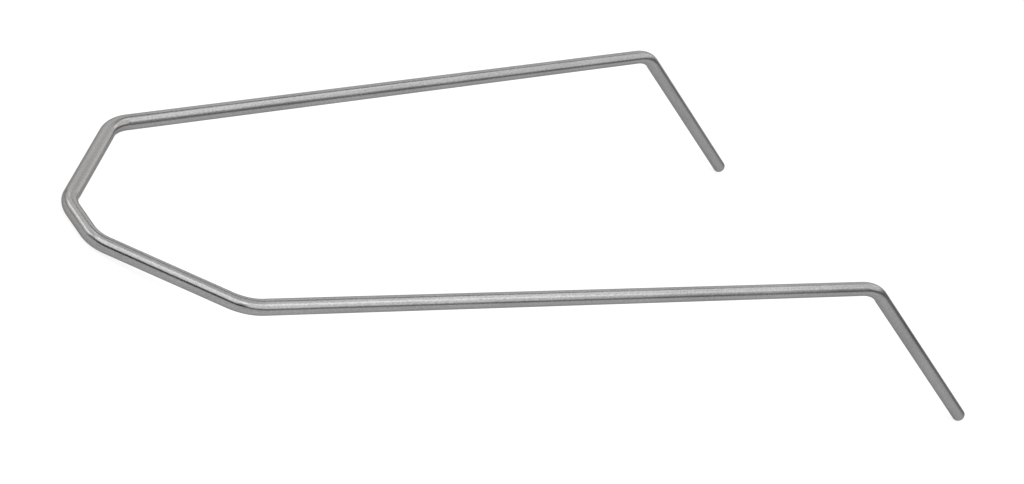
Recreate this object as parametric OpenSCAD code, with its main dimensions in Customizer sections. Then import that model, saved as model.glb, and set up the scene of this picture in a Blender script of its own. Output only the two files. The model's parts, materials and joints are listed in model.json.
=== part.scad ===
// Cable needle: one length of round steel wire, bent in a mirror-symmetric U.
// A short nose, two sloping shoulders and two long prongs lie in one plane, and both
// round-ended tips turn down out of it. It stands on its nose and its two tips, so the
// plane of the U rises from the nose towards the elbows. Each run of the wire is a node
// of its own, and neighbouring runs meet face to face.
// X runs along the needle from nose to tips, Y across it and Z up. The origin is on the
// surface that the needle stands on, under the middle of its box. Millimetres.

/* [Wire] */
// Diameter of the wire
wire_d = 2; // [1.5:0.25:3]

/* [Nose and shoulders] */
// Width of the nose between its two bend corners
nose_w = 7; // [6:0.5:10]
// Width across the two shoulder corners
shoulder_w = 35; // [30:0.2:42]
// Distance along X from the nose to the shoulder corners
shoulder_x = 13; // [11:0.5:16]

/* [Prongs] */
// Width across the two elbow corners
elbow_w = 55.4; // [44:0.2:66]
// Distance along X from the nose to the elbow corners
elbow_x = 111.5; // [90:0.5:130]

/* [Tips] */
// Length of a turned-down tip from its elbow corner to its round end
tip_l = 43.4; // [30:0.2:55]
// Angle in degrees that a tip turns down from its prong
tip_turn = 38; // [30:1:50]

/* [Bends] */
// Centreline radius of the two nose bends
nose_bend_r = 4.2; // [3:0.1:5]
// Centreline radius of the two shoulder bends
shoulder_bend_r = 6; // [4:0.1:8]
// Centreline radius of the two elbow bends
elbow_bend_r = 7.4; // [4:0.1:9]

/* [Hidden] */
$fn = 64;
wire_r = wire_d / 2;
steel = [0.66, 0.66, 0.65];

// Angle of a shoulder run and of a prong from X, seen from above the plane of the U
shoulder_angle = atan2((shoulder_w - nose_w) / 2, shoulder_x);
prong_angle = atan2((elbow_w - shoulder_w) / 2, elbow_x - shoulder_x);

// Angle that each bend turns through
nose_turn = 90 - shoulder_angle;
shoulder_turn = shoulder_angle - prong_angle;

// Distance from a bend's corner to the end of its arc
function tangent(bend_r, turn) = bend_r * tan(turn / 2);
nose_tangent = tangent(nose_bend_r, nose_turn);
shoulder_tangent = tangent(shoulder_bend_r, shoulder_turn);
elbow_tangent = tangent(elbow_bend_r, tip_turn);

// Distances between neighbouring bend corners
shoulder_run = norm([shoulder_x, (shoulder_w - nose_w) / 2]);
prong_run = norm([elbow_x - shoulder_x, (elbow_w - shoulder_w) / 2]);

// Straight lengths that the arcs leave
nose_straight = nose_w - 2 * nose_tangent;
shoulder_straight = shoulder_run - nose_tangent - shoulder_tangent;
prong_straight = prong_run - shoulder_tangent - elbow_tangent;
tip_straight = tip_l - elbow_tangent - wire_r;

// Centre of a tip's round end, in the plane of the U
end_run = tip_l - wire_r;
end_x = elbow_x + end_run * cos(tip_turn) * cos(prong_angle);
end_drop = end_run * sin(tip_turn);

// Tilt that sets the nose and both round ends down on one surface
tilt = atan2(end_drop, end_x);
overall_l = norm([end_x, end_drop]) + wire_d;

// A straight run of wire along X from the origin
module straight(length) {
    rotate([0, 90, 0]) cylinder(r = wire_r, h = length);
}

// A straight run along X with a round point beyond its far end
module round_ended(length) {
    rotate([0, 90, 0]) rotate_extrude() {
        square([wire_r, length]);
        translate([0, length]) intersection() {
            circle(r = wire_r);
            square(wire_r);
        }
    }
}

// A bend that starts at the origin along X and turns left about Z
module bend(bend_r, turn) {
    translate([0, bend_r, 0])
        rotate([0, 0, -90])
            rotate_extrude(angle = turn) translate([bend_r, 0]) circle(r = wire_r);
}

// Moves its children from the start of a bend to its end
module after_bend(bend_r, turn) {
    translate([bend_r * sin(turn), bend_r * (1 - cos(turn)), 0]) rotate([0, 0, turn]) children();
}

// Sets the plane of the U down on its nose and tips
module standing() {
    translate([wire_r - overall_l / 2, 0, wire_r]) rotate([0, -tilt, 0]) children();
}

// side is 1 for the left half, seen along X, and -1 for the right half
module on_side(side) {
    if (side > 0) children();
    else mirror([0, 1, 0]) children();
}

// Half of the nose bar with its bend
module half_nose() {
    rotate([0, 0, 90]) straight(nose_straight / 2);
    translate([0, nose_straight / 2, 0]) rotate([0, 0, 90]) mirror([0, 1, 0]) bend(nose_bend_r, nose_turn);
}

// The short bar at the closed end, with a bend at each end of it
module nose() {
    color(steel) standing() {
        half_nose();
        mirror([0, 1, 0]) half_nose();
    }
}

// Puts its children at the end of a nose bend, pointing along the shoulder run
module from_nose() {
    translate([0, nose_w / 2, 0]) rotate([0, 0, shoulder_angle]) translate([nose_tangent, 0, 0]) children();
}

// The sloping run with the bend at its prong end
module shoulder(side) {
    color(steel) standing() on_side(side) from_nose() {
        straight(shoulder_straight);
        translate([shoulder_straight, 0, 0]) mirror([0, 1, 0]) bend(shoulder_bend_r, shoulder_turn);
    }
}

// Puts its children at a shoulder's corner, pointing along the prong
module from_shoulder() {
    translate([shoulder_x, shoulder_w / 2, 0]) rotate([0, 0, prong_angle]) children();
}

// The long straight run that the stitches slide along
module prong(side) {
    color(steel) standing() on_side(side) from_shoulder()
        translate([shoulder_tangent, 0, 0]) straight(prong_straight);
}

// The elbow bend with the turned-down end and its round point
module tip(side) {
    color(steel) standing() on_side(side) from_shoulder()
        translate([prong_run - elbow_tangent, 0, 0]) rotate([-90, 0, 0]) {
            bend(elbow_bend_r, tip_turn);
            after_bend(elbow_bend_r, tip_turn) round_ended(tip_straight);
        }
}

nose();
shoulder(1);  // left_shoulder
prong(1);  // left_prong
tip(1);  // left_tip
shoulder(-1);  // right_shoulder
prong(-1);  // right_prong
tip(-1);  // right_tip
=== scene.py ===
import json
import math
import bpy
from mathutils import Matrix, Vector


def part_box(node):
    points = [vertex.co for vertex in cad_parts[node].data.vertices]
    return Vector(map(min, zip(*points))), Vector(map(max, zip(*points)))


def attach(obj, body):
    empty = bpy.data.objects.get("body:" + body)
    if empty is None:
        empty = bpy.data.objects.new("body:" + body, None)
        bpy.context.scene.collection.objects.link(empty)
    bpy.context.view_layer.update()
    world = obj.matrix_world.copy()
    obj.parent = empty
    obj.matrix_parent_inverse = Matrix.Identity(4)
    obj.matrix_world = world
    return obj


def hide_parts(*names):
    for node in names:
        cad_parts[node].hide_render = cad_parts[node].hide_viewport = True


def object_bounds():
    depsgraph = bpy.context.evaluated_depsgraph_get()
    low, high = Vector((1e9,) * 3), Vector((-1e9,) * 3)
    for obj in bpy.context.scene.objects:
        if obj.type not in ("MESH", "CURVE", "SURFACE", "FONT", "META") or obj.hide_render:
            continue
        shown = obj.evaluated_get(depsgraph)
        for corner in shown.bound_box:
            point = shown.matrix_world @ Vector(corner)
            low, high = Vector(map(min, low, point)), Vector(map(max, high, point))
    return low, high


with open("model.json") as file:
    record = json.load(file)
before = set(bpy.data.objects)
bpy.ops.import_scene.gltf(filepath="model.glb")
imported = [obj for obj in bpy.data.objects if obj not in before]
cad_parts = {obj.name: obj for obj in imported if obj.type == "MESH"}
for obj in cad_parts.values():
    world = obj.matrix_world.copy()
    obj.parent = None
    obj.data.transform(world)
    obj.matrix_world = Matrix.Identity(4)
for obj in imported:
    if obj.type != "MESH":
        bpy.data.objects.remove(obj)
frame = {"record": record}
cad_low, cad_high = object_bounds()


# ---- the bent wire's sizes, in metres ----

# The wire's radius and the straight part of the left tip are those of its mount.
MM_PER_M = 1000
left_point = next(m for m in frame["record"]["mounts"] if m["name"] == "left_point")
WIRE_R = left_point["dims"]["r_mm"] / MM_PER_M
TIP_AXIS = Vector(left_point["axis"])
TIP_HALF = TIP_AXIS * left_point["dims"]["length_mm"] / MM_PER_M / 2
TIP_START = Vector(left_point["pos_m"]) - TIP_HALF
TIP_END = Vector(left_point["pos_m"]) + TIP_HALF

# The U lies in a plane through the middle of its nose bar, which rises towards the elbows.
ACROSS = Vector((0, 1, 0))
NOSE_MIDDLE = Vector((cad_low.x + WIRE_R, 0, cad_low.z + WIRE_R))
prong_low, prong_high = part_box("left_prong")
ALONG = (prong_low + prong_high) / 2 - NOSE_MIDDLE
ALONG.y = 0
ALONG.normalize()
PLANE_UP = ALONG.cross(ACROSS)

# Corners of the left half, where the straight runs would meet if they had no bends
NOSE_W = 0.007
SHOULDER_X = 0.013
SHOULDER_W = 0.035
NOSE_CORNER = NOSE_MIDDLE + ACROSS * NOSE_W / 2
SHOULDER_CORNER = NOSE_MIDDLE + ALONG * SHOULDER_X + ACROSS * SHOULDER_W / 2
# The elbow's corner is where the tip's line, followed back from its start, meets the U's plane.
BACK_TO_PLANE = (TIP_START - NOSE_MIDDLE).dot(PLANE_UP) / TIP_AXIS.dot(PLANE_UP)
ELBOW_CORNER = TIP_START - TIP_AXIS * BACK_TO_PLANE

# Centreline radii of the bends
NOSE_BEND_R = 0.0042
SHOULDER_BEND_R = 0.006
ELBOW_TURN = TIP_AXIS.angle(ELBOW_CORNER - SHOULDER_CORNER)
ELBOW_BEND_R = (TIP_START - ELBOW_CORNER).length / math.tan(ELBOW_TURN / 2)

# The mesh is finer than the CAD's, so its radius is this share of the wire's to stay inside the
# CAD's box.
SKIN_SHARE = 0.993
SKIN_R = WIRE_R * SKIN_SHARE

# Mesh fineness
AROUND = 48
LINE_STEP = 0.0005
ARC_STEP = 0.0002
ROUND_STEPS = 14

# The bending tool presses the inner side of a bend in by this share of the wire's radius,
# and the press fades in over this length at each end of the bend.
BEND_PRESS = 0.03
BEND_EASE = 0.0012
# The press fades out round the wire's sides, faster with a higher power.
PRESS_POWER = 3
# A centreline that turns by less than this, in radians per metre, is straight.
STRAIGHT_BELOW = 1.0

# The stain's ends along the wire from mid nose, and the length that it fades over, in metres
STAIN_START = -0.003
STAIN_END = 0.026
STAIN_EASE = 0.004


# ---- the centreline ----

def line(start, end):
    """Evenly spaced points from start to end."""
    count = max(2, round((end - start).length / LINE_STEP))
    return [start.lerp(end, i / count) for i in range(count + 1)]


def arc(before, corner, after, radius):
    """Points on the bend that rounds off a corner, from its start to its end."""
    back = (before - corner).normalized()
    onward = (after - corner).normalized()
    turn = math.pi - back.angle(onward)
    inward = (onward - back * onward.dot(back)).normalized()
    centre = corner + back * radius * math.tan(turn / 2) + inward * radius
    count = round(radius * turn / ARC_STEP)
    angles = [turn * i / count for i in range(count + 1)]
    return [centre - radius * (inward * math.cos(a) + back * math.sin(a)) for a in angles]


def half_wire():
    """The left half of the centreline from mid nose to tip: (run, points). Runs share end points."""
    nose_arc = arc(NOSE_MIDDLE, NOSE_CORNER, SHOULDER_CORNER, NOSE_BEND_R)
    shoulder_arc = arc(NOSE_CORNER, SHOULDER_CORNER, ELBOW_CORNER, SHOULDER_BEND_R)
    elbow_arc = arc(SHOULDER_CORNER, ELBOW_CORNER, TIP_END, ELBOW_BEND_R)
    return [
        ("nose", line(NOSE_MIDDLE, nose_arc[0]) + nose_arc[1:]),
        ("shoulder", line(nose_arc[-1], shoulder_arc[0]) + shoulder_arc[1:]),
        ("prong", line(shoulder_arc[-1], elbow_arc[0])),
        ("tip", elbow_arc + line(elbow_arc[-1], TIP_END)[1:]),
    ]


def whole_wire():
    """The centreline from the right tip to the left one, and each node's first and last point."""
    left = half_wire()
    points = []
    spans = {}

    def append_run(side, run, part):
        """Adds a run's points, and widens its node's span, since the nose is made of two runs."""
        node = run if run == "nose" else side + "_" + run
        first = max(len(points) - 1, 0)
        points.extend(part[1:] if points else part)
        start = spans[node][0] if node in spans else first
        spans[node] = (start, len(points) - 1)

    for run, part in reversed(left):
        append_run("right", run, [Vector((p.x, -p.y, p.z)) for p in reversed(part)])
    for run, part in left:
        append_run("left", run, part)
    return points, spans


def directions(points):
    """Unit direction of the centreline at each point."""
    last = len(points) - 1
    return [(points[min(i + 1, last)] - points[max(i - 1, 0)]).normalized() for i in range(last + 1)]


def turnings(points):
    """How sharply the line turns at each point: towards the bend's centre, in radians per metre."""
    out = [Vector((0, 0, 0))]
    for a, b, c in zip(points, points[1:], points[2:]):
        out.append(((c - b).normalized() - (b - a).normalized()) / ((c - a).length / 2))
    out.append(Vector((0, 0, 0)))
    return out


def reach_into_bend(points, turns):
    """Distance of each point from where the bend that it lies on starts, and 0 on a straight run."""
    out = [0.0]
    for i in range(1, len(points)):
        inside = turns[i].length > STRAIGHT_BELOW
        out.append(out[-1] + (points[i] - points[i - 1]).length if inside else 0.0)
    return out


def eased(t):
    """0 below 0 and 1 above 1, with a smooth step between."""
    t = min(1.0, max(0.0, t))
    return t * t * (3 - 2 * t)


def bend_weights(points, turns):
    """0 on a straight run and 1 inside a bend, eased at both ends of the bend."""
    onward = reach_into_bend(points, turns)
    back = reach_into_bend(points[::-1], turns[::-1])[::-1]
    out = []
    for a, b in zip(onward, back):
        out.append(eased(min(a, b) / BEND_EASE))
    return out


# ---- the mesh ----

def ring(centre, axis, up, radius, inward, press):
    """Points round the wire. Its side that faces inward is pressed in by that share of the radius."""
    side = axis.cross(up)
    out = []
    for k in range(AROUND):
        a = 2 * math.pi * k / AROUND
        out_dir = up * math.cos(a) + side * math.sin(a)
        facing = max(0.0, out_dir.dot(inward))
        out.append(centre + out_dir * radius * (1 - press * facing ** PRESS_POWER))
    return out


def rings_along(points):
    """A ring at each point: (its points, distance from mid nose, bend weight, axis, up)."""
    dirs = directions(points)
    turns = turnings(points)
    weights = bend_weights(points, turns)
    up = dirs[0].cross(ACROSS).normalized()
    along = -sum((b - a).length for a, b in zip(points, points[1:])) / 2
    out = []
    for i, p in enumerate(points):
        if i:
            along += (p - points[i - 1]).length
        up = (up - dirs[i] * up.dot(dirs[i])).normalized()
        made = ring(p, dirs[i], up, SKIN_R, turns[i].normalized(), BEND_PRESS * weights[i])
        out.append((made, along, weights[i], dirs[i], up))
    return out


def round_point(end, end_ring, way):
    """The rings of a round end, from next to the wire's last ring out to near its pole. way is -1 at
    the start of the wire and 1 at its end."""
    _, along, weight, axis, up = end_ring
    out = []
    for j in range(1, ROUND_STEPS):
        a = math.pi / 2 * j / ROUND_STEPS
        centre = end + axis * way * SKIN_R * math.sin(a)
        made = ring(centre, axis, up, SKIN_R * math.cos(a), ACROSS, 0.0)
        out.append((made, along + way * WIRE_R * a, weight, axis, up))
    return out


def closed_faces(count):
    """Quads between neighbouring rings, and a face over each end."""
    faces = []
    for i in range(count - 1):
        a, b = i * AROUND, (i + 1) * AROUND
        for k in range(AROUND):
            n = (k + 1) % AROUND
            faces.append((a + k, a + n, b + n, b + k))
    faces.append(tuple(reversed(range(AROUND))))
    faces.append(tuple(range((count - 1) * AROUND, count * AROUND)))
    return faces


def stain_at(along):
    """1 inside the stained stretch and 0 outside it, eased at both of its ends."""
    return eased((along - STAIN_START) / STAIN_EASE) * eased((STAIN_END - along) / STAIN_EASE)


def mark_surface(mesh, rings):
    """Stores what the steel reads at each vertex: its place on the wire, its rubbing and its stain."""
    kinds = {"grain": "FLOAT_VECTOR", "rubbed": "FLOAT", "stain": "FLOAT"}
    for attribute, kind in kinds.items():
        mesh.attributes.new(attribute, kind, "POINT")
    # The data is fetched once all three exist, because adding one moves the others.
    grain, rubbed, stain = (mesh.attributes[attribute].data for attribute in kinds)
    for i, (_, along, weight, _, _) in enumerate(rings):
        for k in range(AROUND):
            a = 2 * math.pi * k / AROUND
            v = i * AROUND + k
            grain[v].vector = (along, WIRE_R * math.cos(a), WIRE_R * math.sin(a))
            rubbed[v].value = weight
            stain[v].value = stain_at(along)


def sharpen_rims(mesh, flat_rings):
    """Marks the edges round the given rings as sharp."""
    for edge in mesh.edges:
        a, b = (v // AROUND for v in edge.vertices)
        edge.use_edge_sharp = a == b and a in flat_rings


def wire_piece(name, rings, round_start, round_end):
    """A closed length of wire. Its flat ends meet its neighbours' and have sharp rims."""
    verts = [p for made, *_ in rings for p in made]
    mesh = bpy.data.meshes.new(name)
    mesh.from_pydata(verts, [], closed_faces(len(rings)))
    mark_surface(mesh, rings)
    mesh.shade_smooth()
    flat_rings = [] if round_start else [0]
    flat_rings += [] if round_end else [len(rings) - 1]
    sharpen_rims(mesh, flat_rings)
    mesh.update()
    piece = bpy.data.objects.new(name, mesh)
    bpy.context.scene.collection.objects.link(piece)
    return piece


# ---- the steel ----

def grey(level):
    """An opaque grey of that level."""
    return (level, level, level, 1)


STEEL_DARK = grey(0.195)
STEEL_LIGHT = grey(0.385)
STAIN = (0.275, 0.258, 0.238, 1)
STAIN_SHARE = 0.35
# A tint under white darkens the steel where it is seen edge on.
RIM = grey(0.5)

# The surface's noises: scale along the wire, feature size in metres, detail, roughness of the noise
STREAKS = (0.012, 0.00011, 3, 0.5)
SPECKS = (0.6, 0.00019, 2, 0.7)
CLOUDS = (0.35, 0.0038, 4, 0.5)
# Most of a noise's values lie between these two.
NOISE_LOW = 0.3
NOISE_HIGH = 0.7

# What each noise adds to the tone, where 0 is STEEL_DARK and 1 is STEEL_LIGHT, at its low and high
STREAK_TONE = (0, 0.2)
SPECK_TONE = (0, 0.46)
CLOUD_TONE = (0, 0.22)
# What each adds to the roughness. Bends are rubbed smoother than the rest.
STREAK_ROUGH = (0.07, 0.10)
CLOUD_ROUGH = (0.08, 0.14)
SPECK_ROUGH = (0.03, 0.05)
RUBBED_ROUGH = (0, -0.02)
# What each adds to the bump, as a share of its height in metres
STREAK_BUMP = (0, 0.5)
SPECK_BUMP = (0, 0.12)
BUMP_HEIGHT = 0.00001
BUMP_STRENGTH = 0.07


class Shading:
    """Small helpers that add nodes to one material."""

    def __init__(self, name):
        self.material = bpy.data.materials.new(name)
        self.material.use_nodes = True
        self.nodes = self.material.node_tree.nodes
        self.links = self.material.node_tree.links
        self.shader = self.nodes["Principled BSDF"].inputs

    def attribute(self, name, output):
        node = self.nodes.new("ShaderNodeAttribute")
        node.attribute_name = name
        return node.outputs[output]

    def noise(self, place, along, size, detail, roughness):
        """Noise of that feature size in metres, stretched along the wire if along is under 1."""
        squeeze = self.nodes.new("ShaderNodeMapping")
        squeeze.inputs["Scale"].default_value = (along, 1, 1)
        self.links.new(place, squeeze.inputs["Vector"])
        texture = self.nodes.new("ShaderNodeTexNoise")
        texture.inputs["Scale"].default_value = 1 / size
        texture.inputs["Detail"].default_value = detail
        texture.inputs["Roughness"].default_value = roughness
        self.links.new(squeeze.outputs["Vector"], texture.inputs["Vector"])
        return texture.outputs["Fac"]

    def spread(self, value, low, high, from_low=NOISE_LOW, from_high=NOISE_HIGH):
        """value, rescaled so that its own low and high become the given ones."""
        fit = self.nodes.new("ShaderNodeMapRange")
        fit.inputs["From Min"].default_value = from_low
        fit.inputs["From Max"].default_value = from_high
        fit.inputs["To Min"].default_value = low
        fit.inputs["To Max"].default_value = high
        self.links.new(value, fit.inputs["Value"])
        return fit.outputs["Result"]

    def add(self, *values):
        """The sum of several values."""
        total = values[0]
        for value in values[1:]:
            maths = self.nodes.new("ShaderNodeMath")
            self.links.new(total, maths.inputs[0])
            self.links.new(value, maths.inputs[1])
            total = maths.outputs["Value"]
        return total

    def ramp(self, value, low, high):
        """A colour from low, at 0, to high, at 1."""
        tone = self.nodes.new("ShaderNodeValToRGB")
        tone.color_ramp.elements[0].color = low
        tone.color_ramp.elements[1].color = high
        self.links.new(value, tone.inputs["Fac"])
        return tone.outputs["Color"]

    def mix(self, share, under, over):
        """under, with a share of the colour over on it."""
        blend = self.nodes.new("ShaderNodeMixRGB")
        blend.inputs["Color2"].default_value = over
        self.links.new(share, blend.inputs["Fac"])
        self.links.new(under, blend.inputs["Color1"])
        return blend.outputs["Color"]


def steel():
    """Satin drawn wire: streaks, specks, an uneven polish, rubbed bends and a trace of stain."""
    s = Shading("drawn_steel")
    place = s.attribute("grain", "Vector")
    streaks = s.noise(place, *STREAKS)
    specks = s.noise(place, *SPECKS)
    clouds = s.noise(place, *CLOUDS)
    rubbed = s.attribute("rubbed", "Fac")
    stain = s.attribute("stain", "Fac")

    tone = s.add(
        s.spread(streaks, *STREAK_TONE),
        s.spread(specks, *SPECK_TONE),
        s.spread(clouds, *CLOUD_TONE),
    )
    clean = s.ramp(tone, STEEL_DARK, STEEL_LIGHT)
    stained = s.mix(s.spread(stain, 0, STAIN_SHARE, 0, 1), clean, STAIN)
    s.links.new(stained, s.shader["Base Color"])

    rough = s.add(
        s.spread(streaks, *STREAK_ROUGH),
        s.spread(clouds, *CLOUD_ROUGH),
        s.spread(specks, *SPECK_ROUGH),
        s.spread(rubbed, *RUBBED_ROUGH, 0, 1),
    )
    s.links.new(rough, s.shader["Roughness"])

    height = s.add(s.spread(streaks, *STREAK_BUMP), s.spread(specks, *SPECK_BUMP))
    bump = s.nodes.new("ShaderNodeBump")
    bump.inputs["Strength"].default_value = BUMP_STRENGTH
    bump.inputs["Distance"].default_value = BUMP_HEIGHT
    s.links.new(height, bump.inputs["Height"])
    s.links.new(bump.outputs["Normal"], s.shader["Normal"])

    s.shader["Metallic"].default_value = 1.0
    s.shader["Specular Tint"].default_value = RIM
    return s.material


# ---- building ----

def build_wire():
    """Every run of the wire as its own piece, in the place of its CAD node."""
    finish = steel()
    points, spans = whole_wire()
    rings = rings_along(points)
    for node, (first, last) in spans.items():
        run = rings[first:last + 1]
        round_start = node == "right_tip"
        round_end = node == "left_tip"
        if round_start:
            run = round_point(points[0], rings[0], -1)[::-1] + run
        if round_end:
            run = run + round_point(points[-1], rings[-1], 1)
        piece = wire_piece("wire_" + node, run, round_start, round_end)
        piece.data.materials.append(finish)
        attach(piece, "root")
        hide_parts(node)


# ---- the studio ----

# The camera looks at this point from this side, height and distance, rolled about its own axis.
CAMERA_AIM = Vector((-0.01502, -0.00923, 0.01002))
CAMERA_SIDE = math.radians(-142.10)
CAMERA_HEIGHT = math.radians(23.375)
CAMERA_ROLL = math.radians(32.25)
CAMERA_DISTANCE = 0.3029
LENS_MM = 82.44
FILM_MM = 36.0
# The camera sees nothing nearer than this, in metres.
CLIP_START = 0.01

# How bright the empty room is, and the light table's own glow, its grey and its size in metres
ROOM_LEVEL = 0.34
TABLE_GLOW = 0.84
TABLE_GREY = 0.18
TABLE_SIZE = 6.0
WHITE = grey(1)

# Soft lights: side and height in degrees, distance, (width, height), brightness, height of aim
SOFTBOXES = {
    "front_left": (-157, 46, 1.3, (1.2, 1.05), 1.85, 0.01),
    "front": (-85, 46, 1.3, (1.25, 1.3), 1.5, 0.01),
    "front_right": (-14, 45, 1.3, (1.2, 1.2), 1.25, 0.01),
    "ceiling": (60, 86, 1.5, (1.5, 1.5), 0.85, 0.01),
    "back": (50, 14, 1.7, (3.0, 1.6), 1.12, 0.3),
    "side": (130, 35, 1.6, (2.2, 1.7), 1.0, 0.01),
    "strip": (142, 28, 1.4, (1.2, 0.28), 1.7, 0.01),
}

# The black card behind the camera
CARD_DISTANCE = 0.9
CARD_W = 1.0
CARD_H = 0.32
CARD_GREY = 0.01

# How rough the matt surfaces are
MATT_ROUGH = 0.9


def outward(side, height):
    """Unit vector from the needle towards that side and height, in radians."""
    level = math.cos(height)
    return Vector((level * math.cos(side), level * math.sin(side), math.sin(height)))


def matt(name, level):
    """A matt grey material of that level."""
    s = Shading(name)
    s.shader["Base Color"].default_value = grey(level)
    s.shader["Roughness"].default_value = MATT_ROUGH
    s.shader["Specular IOR Level"].default_value = 0.0
    return s


def stage_sheet(name, corners, material):
    """A flat sheet that isn't part of the object."""
    mesh = bpy.data.meshes.new(name)
    mesh.from_pydata(corners, [], [(0, 1, 2, 3)])
    mesh.materials.append(material)
    sheet = bpy.data.objects.new(name, mesh)
    bpy.context.scene.collection.objects.link(sheet)


def light_table():
    """A large pale sheet under the needle, which glows a little so that shadows on it stay faint."""
    h = TABLE_SIZE / 2
    glowing = matt("light_table", TABLE_GREY)
    glowing.shader["Emission Color"].default_value = WHITE
    glowing.shader["Emission Strength"].default_value = TABLE_GLOW
    stage_sheet("floor", [(-h, -h, 0), (h, -h, 0), (h, h, 0), (-h, h, 0)], glowing.material)


def black_card():
    """A low card behind the camera, which draws the dark line along the shoulder facing it."""
    foot = outward(CAMERA_SIDE, 0) * CARD_DISTANCE
    wide = outward(CAMERA_SIDE + math.pi / 2, 0) * CARD_W / 2
    rise = Vector((0, 0, CARD_H))
    corners = [foot - wide, foot + wide, foot + wide + rise, foot - wide + rise]
    stage_sheet("black_card", corners, matt("black_card", CARD_GREY).material)


def softbox(name, side, height, distance, size, brightness, aim_z):
    """A rectangular soft light of an even brightness, facing the needle."""
    out = outward(math.radians(side), math.radians(height))
    light = bpy.data.lights.new(name, "AREA")
    light.shape = "RECTANGLE"
    light.size, light.size_y = size
    light.energy = brightness * math.pi * size[0] * size[1]
    lamp = bpy.data.objects.new(name, light)
    lamp.location = Vector((0, 0, aim_z)) + out * distance
    lamp.rotation_euler = out.to_track_quat("Z", "Y").to_euler()
    bpy.context.scene.collection.objects.link(lamp)


def room():
    """The even grey of the room."""
    world = bpy.data.worlds.new("room")
    world.use_nodes = True
    background = world.node_tree.nodes["Background"].inputs
    background["Color"].default_value = WHITE
    background["Strength"].default_value = ROOM_LEVEL
    bpy.context.scene.world = world


def camera():
    """The photograph's viewpoint."""
    back = outward(CAMERA_SIDE, CAMERA_HEIGHT)
    level = Vector((0, 0, 1)).cross(back).normalized()
    upright = back.cross(level)
    right = level * math.cos(CAMERA_ROLL) + upright * math.sin(CAMERA_ROLL)
    up = upright * math.cos(CAMERA_ROLL) - level * math.sin(CAMERA_ROLL)
    data = bpy.data.cameras.new("camera")
    data.lens = LENS_MM
    data.sensor_width = FILM_MM
    data.clip_start = CLIP_START
    eye = bpy.data.objects.new("camera", data)
    turn = Matrix((right, up, back)).transposed().to_4x4()
    eye.matrix_world = Matrix.Translation(CAMERA_AIM + back * CAMERA_DISTANCE) @ turn
    bpy.context.scene.collection.objects.link(eye)
    bpy.context.scene.camera = eye


build_wire()
light_table()
black_card()
room()
for name, settings in SOFTBOXES.items():
    softbox(name, *settings)
camera()
bpy.context.scene.view_settings.view_transform = "Standard"
